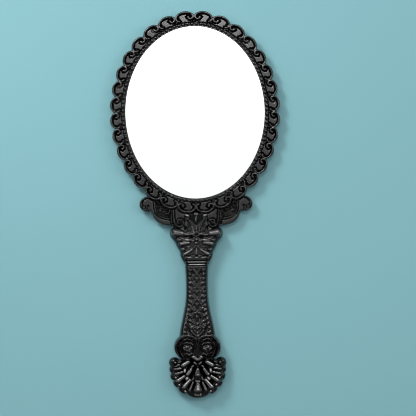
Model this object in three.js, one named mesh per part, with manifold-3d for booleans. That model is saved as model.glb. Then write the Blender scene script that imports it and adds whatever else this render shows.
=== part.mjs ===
// Hand mirror with a scalloped oval head and a carved handle, lying on its back.
//
// Two plastic shells meet on one flat parting plane. The front shell has the window, whose
// lip holds the glass down. The back shell has the pedestals that carry the glass on four
// squares of foam tape. Pegs on the back shell stand in sockets in the front shell.
//
// Units are millimetres. Y runs from the end of the handle to the top of the head, Z runs up
// from the table to the glass, and the group is moved at the end so that its origin is the
// middle of the footprint.

import * as THREE from "three";
import { mergeVertices } from "three/addons/utils/BufferGeometryUtils.js";
import Module from "manifold-3d";

const wasm = await Module();
wasm.setup();

// ---------------------------------------------------------------- driving dimensions

const HEAD_Y = 183.3; // middle of the oval, from the end of the handle
const WINDOW_RX = 44.6; // half width of the visible glass
const WINDOW_RY = 55.2; // half height of the visible glass

const SCALLOPS = 32; // arches round the head
const SCALLOP_DRIFT = 1.3; // how much wider the arches are at the top and bottom
const NOTCH = 7.6; // from the window's edge out to the notches between arches
const TIP = 10.2; // from the window's edge out to the tips of the arches

const PARTING = 5.5; // height of the plane where the shells meet
const PARTING_GAP = 0.15; // each shell stops this far from that plane
const WALL = 1.9; // thickness of a shell's wall

const FIELD_TOP = 8.8; // height of the head's flat front
const RIDGE_TOP = 10.0; // height of the ridge along the arches
const LIP_TOP = 9.6; // height of the ring round the glass
const SHAFT_TOP = 12.8; // height of the grip
const RELIEF_TOP = 14.2; // height of the carved ends of the grip

const GLASS_THICKNESS = 2.0;
const GLASS_OVERLAP = 1.6; // how far the glass runs under the lip
const GLASS_CLEARANCE = 0.3;
const GLASS_BOTTOM = 4.8;
const GLASS_TOP = GLASS_BOTTOM + GLASS_THICKNESS;

const TAPE_SIDE = 18;
const TAPE_THICKNESS = 1.2;
const TAPE_GAP = 0.05; // what the tape is squeezed by on each face
const TAPE_X = 19;
const TAPE_Y = 26;

const PEG_R = 1.2;
const SOCKET_R = 1.5;
const PEG_TOP = 7.2;
const SOCKET_TOP = 7.5;
const BOSS_R = 3.2;

const CURVE_STEPS = 6; // straight steps along one arch
const OVAL_STEPS = 64; // straight steps round a whole oval
const ROUND_STEPS = 12; // straight steps round a peg

// ---------------------------------------------------------------- solids

function solid(geometry) {
  const bare = geometry.index ? geometry.toNonIndexed() : geometry.clone();
  bare.deleteAttribute("normal");
  bare.deleteAttribute("uv");
  const merged = mergeVertices(bare, 1e-4);
  return new wasm.Manifold(
    new wasm.Mesh({
      numProp: 3,
      vertProperties: merged.attributes.position.array,
      triVerts: new Uint32Array(merged.index.array),
    }),
  );
}

function joined(solids) {
  return solids.reduce((all, one) => all.add(one));
}

function geometryOf(piece) {
  const mesh = piece.getMesh();
  const geometry = new THREE.BufferGeometry();
  geometry.setAttribute("position", new THREE.BufferAttribute(mesh.vertProperties, 3));
  geometry.setIndex(new THREE.BufferAttribute(mesh.triVerts, 1));
  return geometry;
}

function box(width, depth, low, high, x = 0, y = 0) {
  const geometry = new THREE.BoxGeometry(width, depth, high - low);
  return solid(geometry.translate(x, y, (low + high) / 2));
}

function post(radius, low, high, x, y) {
  const geometry = new THREE.CylinderGeometry(radius, radius, high - low, ROUND_STEPS);
  return solid(geometry.rotateX(Math.PI / 2).translate(x, y, (low + high) / 2));
}

// A flat-sided slab of an outline, from low to high.
function slab(outline, low, high) {
  const geometry = new THREE.ExtrudeGeometry(outline, {
    depth: high - low,
    bevelEnabled: false,
    curveSegments: CURVE_STEPS,
  });
  return solid(geometry.translate(0, 0, low));
}

// How far a corner of a closed outline moves when the outline shrinks by one.
function inwardStep(before, at, after) {
  const one = at.clone().sub(before).normalize();
  const two = after.clone().sub(at).normalize();
  const step = new THREE.Vector2(-one.y - two.y, one.x + two.x);
  return step.divideScalar(Math.max(0.5, 1 + one.dot(two)));
}

// A slab whose upper and lower edges are rounded off by a quarter circle of the given radius.
function roundedSlab(outline, low, high, round, steps = 3) {
  const rim = outline.getPoints();
  const count = rim.length;
  const inwards = rim.map((p, i) => inwardStep(rim[(i + count - 1) % count], p, rim[(i + 1) % count]));
  const layers = [];
  for (let i = 0; i <= steps; i++) {
    const a = ((Math.PI / 2) * i) / steps;
    const inset = round * (1 - Math.sin(a));
    layers.push({ inset, z: low + round * (1 - Math.cos(a)) });
  }
  const top = layers.map(({ inset, z }) => ({ inset, z: high + low - z })).reverse();
  layers.push(...top);

  const vertices = [];
  for (const { inset, z } of layers) {
    rim.forEach((p, i) => vertices.push(p.x + inset * inwards[i].x, p.y + inset * inwards[i].y, z));
  }
  const faces = [];
  for (const [a, b, c] of THREE.ShapeUtils.triangulateShape(rim.slice(), [])) {
    const up = (layers.length - 1) * count;
    faces.push(c, b, a, up + a, up + b, up + c);
  }
  for (let layer = 0; layer + 1 < layers.length; layer++) {
    for (let i = 0; i < count; i++) {
      const a = layer * count + i;
      const b = layer * count + ((i + 1) % count);
      faces.push(a, b, b + count, a, b + count, a + count);
    }
  }
  const geometry = new THREE.BufferGeometry();
  geometry.setAttribute("position", new THREE.Float32BufferAttribute(vertices, 3));
  geometry.setIndex(faces);
  return solid(geometry);
}

function oval(rx, ry, low, high) {
  const outline = new THREE.Shape();
  outline.absellipse(0, HEAD_Y, rx, ry, 0, 2 * Math.PI);
  const ring = new THREE.Shape(outline.getPoints(OVAL_STEPS));
  return slab(ring, low, high);
}

// A swelling of the surface: an ellipsoid, turned by angle about Z.
function swelling(x, y, z, rx, ry, rz, angle = 0) {
  const geometry = new THREE.SphereGeometry(1, 10, 6);
  geometry.scale(rx, ry, rz).rotateZ(angle).translate(x, y, z);
  return solid(geometry);
}

const FAR = 300;
const abovePlane = box(FAR, 2 * FAR, PARTING + PARTING_GAP, FAR);
const belowPlane = box(FAR, 2 * FAR, 0, PARTING - PARTING_GAP);

// ---------------------------------------------------------------- outlines

// The point at arc length share t (0 at the top, clockwise) of the window, moved outwards.
const windowLine = new THREE.EllipseCurve(0, HEAD_Y, WINDOW_RX, WINDOW_RY, Math.PI / 2, -1.5 * Math.PI, true);
windowLine.arcLengthDivisions = 800;

function rimPoint(t, outwards) {
  const turn = ((t % 1) + 1) % 1;
  const on = windowLine.getPointAt(turn);
  const normal = new THREE.Vector2(
    on.x / (WINDOW_RX * WINDOW_RX),
    (on.y - HEAD_Y) / (WINDOW_RY * WINDOW_RY),
  ).normalize();
  return on.addScaledVector(normal, outwards);
}

// Where the notch before arch k lies, as a share of the way round.
function notchAt(k) {
  const drift = SCALLOP_DRIFT * Math.sin((4 * Math.PI * k) / SCALLOPS);
  return k / SCALLOPS + drift / windowLine.getLength();
}

// The scalloped outline of the head, moved inwards by inset.
function scallopOutline(inset = 0) {
  const points = [];
  for (let k = 0; k < SCALLOPS; k++) {
    const from = notchAt(k);
    const to = notchAt(k + 1);
    for (let i = 0; i < CURVE_STEPS; i++) {
      const across = (2 * i) / CURVE_STEPS - 1;
      const swell = Math.sqrt(1 - 0.62 * across * across) - Math.sqrt(0.38);
      const rise = (TIP - NOTCH) * (swell / (1 - Math.sqrt(0.38)));
      points.push(rimPoint(from + ((to - from) * i) / CURVE_STEPS, NOTCH + rise - inset));
    }
  }
  return new THREE.Shape(points.reverse());
}

// A closed outline from the right half of it, drawn from the bottom to the top. Where the
// outline crosses the middle squarely it has no point there.
function mirrored(half) {
  const left = half.filter((p) => p.x > 0).map((p) => new THREE.Vector2(-p.x, p.y));
  return new THREE.Shape([...half, ...left.reverse()]);
}

function arcPoints(x, y, radius, fromDegrees, toDegrees, steps) {
  const points = [];
  for (let i = 0; i <= steps; i++) {
    const a = THREE.MathUtils.degToRad(fromDegrees + ((toDegrees - fromDegrees) * i) / steps);
    points.push(new THREE.Vector2(x + radius * Math.cos(a), y + radius * Math.sin(a)));
  }
  return points;
}

function smooth(points, steps) {
  return new THREE.SplineCurve(points.map(([x, y]) => new THREE.Vector2(x, y))).getPoints(steps);
}

// The carved plate between the head and the handle, with an ear curling out on each side.
function neckOutline() {
  const skirt = smooth([[15, 110.4], [20.5, 111.2], [24.6, 113], [27, 115.8], [28.4, 119.2]], 10);
  const ear = arcPoints(31.4, 124.6, 4.9, -122, 125, 14);
  return mirrored([
    new THREE.Vector2(0, 106),
    new THREE.Vector2(12, 108),
    ...skirt,
    ...ear,
    new THREE.Vector2(26, 133),
    new THREE.Vector2(0, 127),
  ]);
}

// The knot of leaves where the handle begins, down to its collar.
function knotOutline() {
  const side = smooth(
    [[7.9, 86.4], [9.4, 89], [10.4, 91.4], [10.6, 93.6], [12.6, 97.4], [13.7, 100], [16.2, 103], [17, 105.4], [16.5, 108], [14.6, 109.7]],
    16,
  );
  return mirrored([...side, new THREE.Vector2(0, 111)]);
}

function gripOutline() {
  const side = smooth([[7, 27], [11.2, 33], [11.7, 38.5], [11.1, 44], [9.9, 50], [8.6, 56], [7.6, 62], [7.2, 69], [7.2, 77], [7.6, 85], [7.9, 93]], 20);
  return mirrored(side);
}

const FAN_Y = 18.5; // middle of the fan at the handle's end
const FAN_R = 16.7; // out to the notches between its lobes
const FAN_LOBES = [0, 25, 48, 66, 83, 99]; // notches, in degrees from straight down
const EAR_X = 15;
const EAR_Y = 23;
const EAR_R = 3.5;
const SCROLL_X = 7.6;
const SCROLL_Y = 33.2;
const SCROLL_R = 7.7;

function fanOutline() {
  const half = [];
  for (let k = 0; k + 1 < FAN_LOBES.length; k++) {
    const low = k === 0 ? -FAN_LOBES[1] : FAN_LOBES[k];
    const high = FAN_LOBES[k + 1];
    const from = k === 0 ? 0 : low;
    for (let i = 0; i < CURVE_STEPS; i++) {
      const degrees = from + ((high - from) * i) / CURVE_STEPS;
      const across = (2 * (degrees - low)) / (high - low) - 1;
      const radius = FAN_R + 1.6 * Math.sqrt(Math.max(0, 1 - across * across));
      const a = THREE.MathUtils.degToRad(degrees - 90);
      half.push(new THREE.Vector2(radius * Math.cos(a), FAN_Y + radius * Math.sin(a)));
    }
  }
  half.push(new THREE.Vector2(12, 25), new THREE.Vector2(0, 30));
  half[0].x = 0;
  return mirrored(half);
}

function disc(x, y, radius, steps = 28) {
  return new THREE.Shape(arcPoints(x, y, radius, 0, 360, steps).slice(0, -1));
}

// ---------------------------------------------------------------- the shells' outer forms

function headForm(low, high, inset = 0) {
  return slab(scallopOutline(inset), low, high);
}

// The handle from its fan to the neck plate, with rounded edges.
function handleForm(low, gripHigh, reliefHigh, round) {
  const parts = [
    roundedSlab(gripOutline(), low, gripHigh, round),
    roundedSlab(knotOutline(), low, reliefHigh - 0.8, round),
    roundedSlab(fanOutline(), low, reliefHigh - 1.8, 1.1, 2),
  ];
  for (const side of [-1, 1]) {
    parts.push(roundedSlab(disc(side * SCROLL_X, SCROLL_Y, SCROLL_R), low, reliefHigh - 1, round));
    parts.push(roundedSlab(disc(side * EAR_X, EAR_Y, EAR_R, 16), low, reliefHigh - 2.4, 1.4, 2));
  }
  return joined(parts);
}

// The hollow inside both halves of the handle.
function handleHollow() {
  const side = smooth(
    [[0.1, 5], [8, 8], [12, 14], [12.2, 19.5], [9.6, 25], [9.8, 29], [11.6, 33.5], [10.4, 38.5],
     [8.2, 45], [6.4, 56], [5.2, 68], [5.2, 80], [6.2, 89], [8.6, 96], [9.4, 102], [0.1, 106]],
    30,
  );
  const outline = mirrored([new THREE.Vector2(0, 4.9), ...side, new THREE.Vector2(0, 106.1)]);
  return roundedSlab(outline, WALL, SHAFT_TOP - WALL, 2.6, 2);
}

// ---------------------------------------------------------------- raised ornament

function scallopRidge() {
  const outer = scallopOutline(0.7);
  outer.holes.push(new THREE.Path(scallopOutline(1.9).getPoints().reverse()));
  return slab(outer, FIELD_TOP - 0.2, RIDGE_TOP);
}

function fanPetals() {
  const petals = [];
  for (const degrees of [-72, -47, -24, 0, 24, 47, 72]) {
    const a = THREE.MathUtils.degToRad(degrees);
    const x = 10.2 * Math.sin(a);
    const y = FAN_Y + 1.5 - 10.2 * Math.cos(a);
    petals.push(swelling(x, y, RELIEF_TOP - 2.6, 2.3, 4.6, 2.3, a));
  }
  petals.push(swelling(0, 17, RELIEF_TOP - 2.6, 3.2, 4.4, 2.6));
  return petals;
}

function knotLeaves() {
  const leaves = [swelling(0, 104, RELIEF_TOP - 2.4, 3.6, 3.6, 2.4)];
  for (const side of [-1, 1]) {
    leaves.push(swelling(side * 10.4, 105.8, RELIEF_TOP - 3, 6, 2.6, 2.6, side * 0.2));
    leaves.push(swelling(side * 8, 100, RELIEF_TOP - 3, 4.6, 2, 2.4, side * -0.15));
    leaves.push(swelling(side * 5.8, 94.4, RELIEF_TOP - 3, 3.6, 1.6, 2.2, side * -0.45));
  }
  return leaves;
}

function plume() {
  const feathers = [];
  for (const degrees of [-48, -24, 0, 24, 48]) {
    const a = THREE.MathUtils.degToRad(degrees);
    feathers.push(
      swelling(-8.4 * Math.sin(a), 105 + 8.4 * Math.cos(a), FIELD_TOP, 1.7, 5.6, 3, a),
    );
  }
  return feathers;
}

function scrollEyes() {
  return [-1, 1].map((side) => swelling(side * 6.4, 32.6, RELIEF_TOP - 2.2, 3.4, 3, 2.2));
}

function collarRings() {
  return [87.6, 89.6].map((y) => {
    const ring = new THREE.CylinderGeometry(8.3, 8.3, 1.2, 24).scale(1, 1, 0.98);
    return solid(ring.translate(0, y, PARTING)).intersect(abovePlane);
  });
}

// ---------------------------------------------------------------- pegs and sockets

// Each place has a peg on the back shell and a socket in the front shell.
const rimPegs = [3, 7, 11, 21, 25, 29].map((k) => rimPoint((k + 0.5) / SCALLOPS, 5.4));
const neckPegs = [-21, 21].map((x) => new THREE.Vector2(x, 119));
const handlePegs = [new THREE.Vector2(0, 14), new THREE.Vector2(0, 97)];
const allPegs = [...rimPegs, ...neckPegs, ...handlePegs];

// ---------------------------------------------------------------- pieces

function frontShell() {
  const outer = joined([
    headForm(PARTING, FIELD_TOP),
    slab(neckOutline(), PARTING, FIELD_TOP),
    handleForm(-FAR / 10, SHAFT_TOP, RELIEF_TOP, 3.6),
    scallopRidge(),
    oval(WINDOW_RX + 2.6, WINDOW_RY + 2.6, FIELD_TOP - 0.2, LIP_TOP),
    ...fanPetals(),
    ...knotLeaves(),
    ...plume(),
    ...scrollEyes(),
    ...collarRings(),
  ]);
  const bosses = handlePegs.map((p) => post(BOSS_R, PARTING, SHAFT_TOP - 1, p.x, p.y));
  const glassSeat = oval(
    WINDOW_RX + GLASS_OVERLAP + GLASS_CLEARANCE,
    WINDOW_RY + GLASS_OVERLAP + GLASS_CLEARANCE,
    0,
    GLASS_TOP + GLASS_CLEARANCE,
  );
  const window = oval(WINDOW_RX, WINDOW_RY, 0, FAR / 10);
  let shell = outer.subtract(handleHollow()).add(joined(bosses)).intersect(abovePlane);
  shell = shell.subtract(glassSeat).subtract(window);
  for (const p of allPegs) shell = shell.subtract(post(SOCKET_R, 0, SOCKET_TOP, p.x, p.y));
  return shell;
}

function backShell() {
  const edge = 1.6; // how far the back's edge is cut away at the table
  const outer = joined([
    headForm(edge, PARTING),
    headForm(0, edge, edge),
    slab(neckOutline(), 0, PARTING),
    handleForm(0, FAR / 10, FAR / 10, 2.4),
  ]).intersect(belowPlane);
  const headHollow = oval(
    WINDOW_RX + GLASS_OVERLAP + GLASS_CLEARANCE,
    WINDOW_RY + GLASS_OVERLAP + GLASS_CLEARANCE,
    WALL,
    PARTING,
  );
  const pedestals = tapePlaces.map(([x, y]) =>
    box(TAPE_SIDE, TAPE_SIDE, WALL - 0.1, GLASS_BOTTOM - TAPE_THICKNESS, x, HEAD_Y + y),
  );
  const bosses = handlePegs.map((p) => post(BOSS_R, WALL - 0.1, PARTING - PARTING_GAP, p.x, p.y));
  const pegs = allPegs.map((p) => post(PEG_R, WALL, PEG_TOP, p.x, p.y));
  return joined([outer.subtract(headHollow).subtract(handleHollow()), ...pedestals, ...bosses, ...pegs]);
}

const tapePlaces = [
  [-TAPE_X, TAPE_Y],
  [TAPE_X, TAPE_Y],
  [-TAPE_X, -TAPE_Y],
  [TAPE_X, -TAPE_Y],
];

function mirrorGlass() {
  return oval(WINDOW_RX + GLASS_OVERLAP, WINDOW_RY + GLASS_OVERLAP, GLASS_BOTTOM, GLASS_TOP);
}

function tapeSquare(x, y) {
  const low = GLASS_BOTTOM - TAPE_THICKNESS + TAPE_GAP;
  return box(TAPE_SIDE - 1, TAPE_SIDE - 1, low, GLASS_BOTTOM - TAPE_GAP, x, HEAD_Y + y);
}

// ---------------------------------------------------------------- the assembly

const plastic = new THREE.MeshStandardMaterial({
  color: 0x08080a,
  roughness: 0.28,
  metalness: 0,
});
const silvered = new THREE.MeshStandardMaterial({
  color: 0xf2f5f7,
  roughness: 0.02,
  metalness: 1,
});
const foam = new THREE.MeshStandardMaterial({
  color: 0xe9e9e4,
  roughness: 0.95,
  metalness: 0,
});

const mirror = new THREE.Group();

function addPiece(name, piece, material) {
  const mesh = new THREE.Mesh(geometryOf(piece), material);
  mesh.name = name;
  mirror.add(mesh);
}

addPiece("front_shell", frontShell(), plastic);
addPiece("back_shell", backShell(), plastic);
addPiece("mirror_glass", mirrorGlass(), silvered);
tapePlaces.forEach(([x, y], i) => addPiece(`foam_tape_${i + 1}`, tapeSquare(x, y), foam));

const footprint = new THREE.Box3().setFromObject(mirror);
mirror.position.y = -(footprint.min.y + footprint.max.y) / 2;

export default mirror;
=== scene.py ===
"""A black plastic hand mirror with a scalloped, carved rim and handle, lying face up on a pale floor.

Both shells are built here as height maps: a height for every point of a fine grid, cut off along the
outline, and closed below by flat faces. All lengths are in millimetres until a mesh is made. X runs
across the mirror, V runs along it from the end of the handle, and Z runs up from the table.
"""

import math

import bpy
import numpy as np
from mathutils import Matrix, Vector, geometry


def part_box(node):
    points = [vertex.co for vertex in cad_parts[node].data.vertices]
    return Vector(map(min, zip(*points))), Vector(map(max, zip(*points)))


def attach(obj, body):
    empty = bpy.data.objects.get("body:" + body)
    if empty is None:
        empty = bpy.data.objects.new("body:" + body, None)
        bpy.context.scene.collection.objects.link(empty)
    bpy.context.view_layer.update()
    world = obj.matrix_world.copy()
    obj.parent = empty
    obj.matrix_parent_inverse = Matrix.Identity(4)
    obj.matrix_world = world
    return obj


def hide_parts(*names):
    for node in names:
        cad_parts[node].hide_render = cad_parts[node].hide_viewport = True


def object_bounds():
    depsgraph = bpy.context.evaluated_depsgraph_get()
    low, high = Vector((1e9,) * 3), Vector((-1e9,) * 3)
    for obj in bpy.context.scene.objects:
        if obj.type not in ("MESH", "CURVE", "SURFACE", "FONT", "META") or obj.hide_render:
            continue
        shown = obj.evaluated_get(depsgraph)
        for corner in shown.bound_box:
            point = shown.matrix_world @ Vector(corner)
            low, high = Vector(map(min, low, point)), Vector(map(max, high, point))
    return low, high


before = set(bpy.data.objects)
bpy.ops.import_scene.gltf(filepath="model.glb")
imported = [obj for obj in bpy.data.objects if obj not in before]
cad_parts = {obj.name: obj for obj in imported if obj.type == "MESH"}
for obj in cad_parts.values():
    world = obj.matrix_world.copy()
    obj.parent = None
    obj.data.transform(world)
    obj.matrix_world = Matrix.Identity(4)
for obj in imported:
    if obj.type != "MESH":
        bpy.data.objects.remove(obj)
CAD_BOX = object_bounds()

MM = 0.001

# ---------------- sizes


def node_box(name):
    """The low and the high corner of a CAD node's box."""
    low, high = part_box(name)
    return np.array(low) / MM, np.array(high) / MM


FRONT_LOW, FRONT_HIGH = node_box("front_shell")
GLASS_HIGH = node_box("mirror_glass")[1]
END_Y = FRONT_LOW[1] - 0.2  # the outline's lowest point lies 0.2 above V = 0
PARTING_FRONT = FRONT_LOW[2]
PARTING_BACK = PARTING_FRONT - 0.3

HEAD_V = 183.3  # the middle of the head
WINDOW_RX = 44.6
WINDOW_RY = 55.2
SCALLOPS = 32
SCALLOP_DRIFT = 1.3  # how far the notches shift along the rim, as the lobes are not all alike
NOTCH = 7.6  # from the window's edge out to a notch
TIP = 10.2  # from the window's edge out to a lobe's tip
LOBE_ROUND = 0.62  # how round a lobe is: near 0 a parabola, at 1 half an ellipse
SEAT = 1.9  # from the window's edge out to the wall round the glass
SEAT_TOP = GLASS_HIGH[2] + 0.3

FIELD = 8.7  # height of the head's flat front
LOBE_EDGE = 8.2  # height of a lobe's top at its outline
TROUGH = 7.2  # height of the groove that holds the beads
BEAD_PITCH = 2.7
BEAD_ROW = 1.55  # from the window's edge out to the middle of the beads
NECK_FIELD = 8.3
NECK_EDGE = 7.5
RIM_EDGE = 6.1  # height of the front shell's outer edge
WINDOW_EDGE = 7.5  # height of the lip at the glass

FAN_V = 18.5
FAN_R = 16.7
FAN_SWELL = 1.6  # how far a lobe of the fan stands out
FAN_LOBES = (0, 25, 48, 66, 83, 99)  # degrees from straight down to the notches
EAR = (15.0, 23.0, 3.5)  # the curl at each end of the fan: X, V and radius
SCROLL = (7.6, 33.2, 7.7)  # the rolled scroll over it: X, V and radius
GRIP_TOP = 12.4
GRIP_ENDS = (27.5, 92)  # the scrolls' foot, and where the knot takes over
PANEL_ENDS = (40.1, 84.2)
PANEL_DEPTH = 1.7
CHAIN_LINK = 8.1  # length of one link of the grip's chain
CHAIN = np.arange(47.6, 84, CHAIN_LINK)

BACK_EDGE = 4.9  # height of the back shell's outer edge
BACK_ROUND = 2.6  # width of the rounding along it
FLOOR_OF_BACK = 1.9
FRONT_CEILING = 9.0  # top of the hollow in the handle
PEG_R = 1.2
PEG_END = 7.2
SOCKET_R = 1.5
SOCKET_END = 7.5
BOSS_R = 3.2
GRIP_PINS = ((0, 14), (0, 97))
RIM_PINS = (3, 7, 11, 21, 25, 29)  # the lobes that hold a pin
NECK_PINS = ((-21, 119), (21, 119))
TAPES = (1, 2, 3, 4)

FRONT_STEP = 0.3  # spacing of the front's height map
BACK_STEP = 0.5
FAR = 9.0  # distances are not told apart beyond this

CAMERA_HEIGHT = 0.95  # metres above what is in the middle of the view
VIEW_WIDTH = 0.2662  # metres across the view
VIEW_LEVEL = 8.0  # the height at which the view is that wide
VIEW_MIDDLE = (7.65, 121.9)  # X and V
LEAN = 0.62  # degrees that the head leans to the left
LIT_PLACE = (0, 0.04, 0)  # what the lights shine at, in metres

# ---------------- curves and distances


def smooth_line(points, per_span=6):
    """A Catmull-Rom curve through the points."""
    p = np.array(points, float)
    p = np.vstack([2 * p[0] - p[1], p, 2 * p[-1] - p[-2]])
    t = np.linspace(0, 1, per_span, endpoint=False)[:, None]
    spans = []
    for a, b, c, d in zip(p, p[1:], p[2:], p[3:]):
        square = (2 * a - 5 * b + 4 * c - d) * t**2
        cube = (3 * b - 3 * c + d - a) * t**3
        spans.append(0.5 * (2 * b + (c - a) * t + square + cube))
    return np.vstack([*spans, p[-2:-1]])


def arc(x, v, radius, start, stop, count=16):
    angles = np.radians(np.linspace(start, stop, count))
    return np.stack([x + radius * np.cos(angles), v + radius * np.sin(angles)], -1)


def line_distance(X, V, line):
    """Distance from each grid point to a line of straight spans."""
    best = np.full(X.shape, 1e9)
    for (x0, v0), (x1, v1) in zip(line, line[1:]):
        dx, dv = x1 - x0, v1 - v0
        length2 = dx * dx + dv * dv + 1e-12
        t = np.clip(((X - x0) * dx + (V - v0) * dv) / length2, 0, 1)
        best = np.minimum(best, (X - x0 - t * dx) ** 2 + (V - v0 - t * dv) ** 2)
    return np.sqrt(best)


def inside_outline(X, V, outline):
    inside = np.zeros(X.shape, bool)
    for (x0, v0), (x1, v1) in zip(outline, np.roll(outline, -1, axis=0)):
        crosses = (v0 > V) != (v1 > V)
        with np.errstate(divide="ignore", invalid="ignore"):
            inside ^= crosses & (X < (x1 - x0) * (V - v0) / (v1 - v0) + x0)
    return inside


def outline_distance(X, V, outline, reach=FAR):
    """Signed distance to a closed outline, negative inside, and no more than reach away from it."""
    result = np.full(X.shape, reach)
    low, high = outline.min(0) - reach, outline.max(0) + reach
    rows = (V[:, 0] >= low[1]) & (V[:, 0] <= high[1])
    cols = (X[0] >= low[0]) & (X[0] <= high[0])
    window = np.ix_(rows, cols)
    closed = np.vstack([outline, outline[:1]])
    distance = line_distance(X[window], V[window], closed)
    inside = inside_outline(X[window], V[window], outline)
    result[window] = np.where(inside, -distance, np.minimum(distance, reach))
    return result


def ramp(value, start, stop):
    """0 at start, 1 at stop, smooth between."""
    t = np.clip((value - start) / (stop - start), 0, 1)
    return t * t * (3 - 2 * t)


# ---------------- the oval rim's own coordinates


def oval_perimeter_table():
    angle = np.linspace(0, 2 * np.pi, 4001)
    speed = np.hypot(WINDOW_RX * np.cos(angle), WINDOW_RY * np.sin(angle))
    length = np.concatenate([[0], np.cumsum((speed[1:] + speed[:-1]) / 2 * np.diff(angle))])
    return angle, length


OVAL_ANGLE, OVAL_LENGTH = oval_perimeter_table()
PERIMETER = OVAL_LENGTH[-1]


def oval_point(along, outwards):
    """The point that lies outwards of the window's edge, along it from the top, clockwise."""
    angle = np.interp(np.mod(along, PERIMETER), OVAL_LENGTH, OVAL_ANGLE)
    x, v = WINDOW_RX * np.sin(angle), WINDOW_RY * np.cos(angle)
    nx, nv = np.sin(angle) / WINDOW_RX, np.cos(angle) / WINDOW_RY
    size = np.hypot(nx, nv)
    return np.stack([x + outwards * nx / size, HEAD_V + v + outwards * nv / size], -1)


def oval_coordinates(X, V):
    """How far along the window's edge each grid point lies, and how far outside it."""
    y = V - HEAD_V
    angle = np.arctan2(X / WINDOW_RX, y / WINDOW_RY)
    for _ in range(6):
        ex, ev = WINDOW_RX * np.sin(angle), WINDOW_RY * np.cos(angle)
        tx, tv = WINDOW_RX * np.cos(angle), -WINDOW_RY * np.sin(angle)
        error = (ex - X) * tx + (ev - y) * tv
        slope = tx * tx + tv * tv - (ex - X) * ex - (ev - y) * ev
        angle -= np.clip(error / np.where(np.abs(slope) < 200, 200, slope), -0.3, 0.3)
    ex, ev = WINDOW_RX * np.sin(angle), WINDOW_RY * np.cos(angle)
    outside = np.hypot(X / WINDOW_RX, y / WINDOW_RY) >= 1
    distance = np.hypot(ex - X, ev - y) * np.where(outside, 1, -1)
    along = np.interp(np.mod(angle, 2 * np.pi), OVAL_ANGLE, OVAL_LENGTH)
    return along, distance


def notch_place(k):
    """How far along the window's edge notch k lies."""
    return PERIMETER * k / SCALLOPS + SCALLOP_DRIFT * np.sin(4 * np.pi * k / SCALLOPS)


def scallop_outline(steps=12):
    across = 2 * np.arange(steps) / steps - 1
    foot = math.sqrt(1 - LOBE_ROUND)
    swell = (np.sqrt(1 - LOBE_ROUND * across**2) - foot) / (1 - foot)
    points = []
    for k in range(SCALLOPS):
        start, stop = notch_place(k), notch_place(k + 1)
        along = start + (stop - start) * (across + 1) / 2
        points.append(oval_point(along, NOTCH + (TIP - NOTCH) * swell))
    return np.vstack(points)


# ---------------- the handle's outlines


def mirrored(half):
    """A closed outline from its right half."""
    half = np.array(half, float)
    left = half[half[:, 0] > 1e-6] * (-1, 1)
    return np.vstack([half, left[::-1]])


def neck_outline():
    skirt = smooth_line([(15, 110.4), (20.5, 111.2), (24.6, 113), (27, 115.8), (28.4, 119.2)])
    ear = arc(31.4, 124.6, 4.9, -122, 125, 24)
    return mirrored([(0, 106), (12, 108), *skirt, *ear, (26, 133), (0, 127)])


KNOT_SIDE = [
    *((7.9, 86.4), (9.4, 89), (10.4, 91.4), (10.6, 93.6), (12.6, 97.4), (13.7, 100)),
    *((16.2, 103), (17, 105.4), (16.5, 108), (14.6, 109.7)),
]


def knot_outline():
    return mirrored([*smooth_line(KNOT_SIDE), (0, 111)])


def wing_outline():
    """The knot's raised body, which leaves room for the plume between its wings."""
    side = smooth_line([*KNOT_SIDE, (11.6, 109), (9, 107.6), (6.4, 106.2), (3.6, 106)])
    return mirrored([(0.1, 86.4), *side, (1.6, 106.8), (0.1, 107.6)])


def grip_outline():
    side = smooth_line(
        [(7, 27), (11.2, 33), (11.7, 38.5), (11.1, 44), (9.9, 50), (8.6, 56)]
        + [(7.6, 62), (7.2, 69), (7.2, 77), (7.6, 85), (7.9, 93)]
    )
    return mirrored(side)


def fan_outline(steps=12):
    half = []
    for k, (low, high) in enumerate(zip(FAN_LOBES, FAN_LOBES[1:])):
        start = low
        low = -FAN_LOBES[1] if k == 0 else low
        degrees = start + (high - start) * np.arange(steps) / steps
        across = 2 * (degrees - low) / (high - low) - 1
        radius = FAN_R + FAN_SWELL * np.sqrt(np.maximum(0, 1 - across**2))
        angle = np.radians(degrees - 90)
        half += list(np.stack([radius * np.cos(angle), FAN_V + radius * np.sin(angle)], -1))
    half += [(12, 25), (0, 30)]
    half[0] = np.array([0.0, half[0][1]])
    return mirrored(half)


def handle_outlines():
    """The knot, the grip and the fan, and then a scroll and an ear on each side."""
    outlines = [knot_outline(), grip_outline(), fan_outline()]
    for side in (-1, 1):
        outlines.append(arc(side * SCROLL[0], SCROLL[1], SCROLL[2], 0, 360, 61)[:-1])
        outlines.append(arc(side * EAR[0], EAR[1], EAR[2], 0, 360, 41)[:-1])
    return outlines


def hollow_outline():
    """The hollow inside the handle."""
    side = smooth_line(
        [(0.1, 5), (8, 8), (12, 14), (12.2, 19.5), (9.6, 25), (9.8, 29), (11.6, 33.5), (10.4, 38.5)]
        + [(8.2, 45), (6.4, 56), (5.2, 68), (5.2, 80), (6.2, 89), (8.6, 96), (9.4, 102), (0.1, 106)],
        per_span=3,
    )
    return mirrored([(0, 4.9), *side, (0, 106.1)])


# ---------------- a sheet of heights


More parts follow.
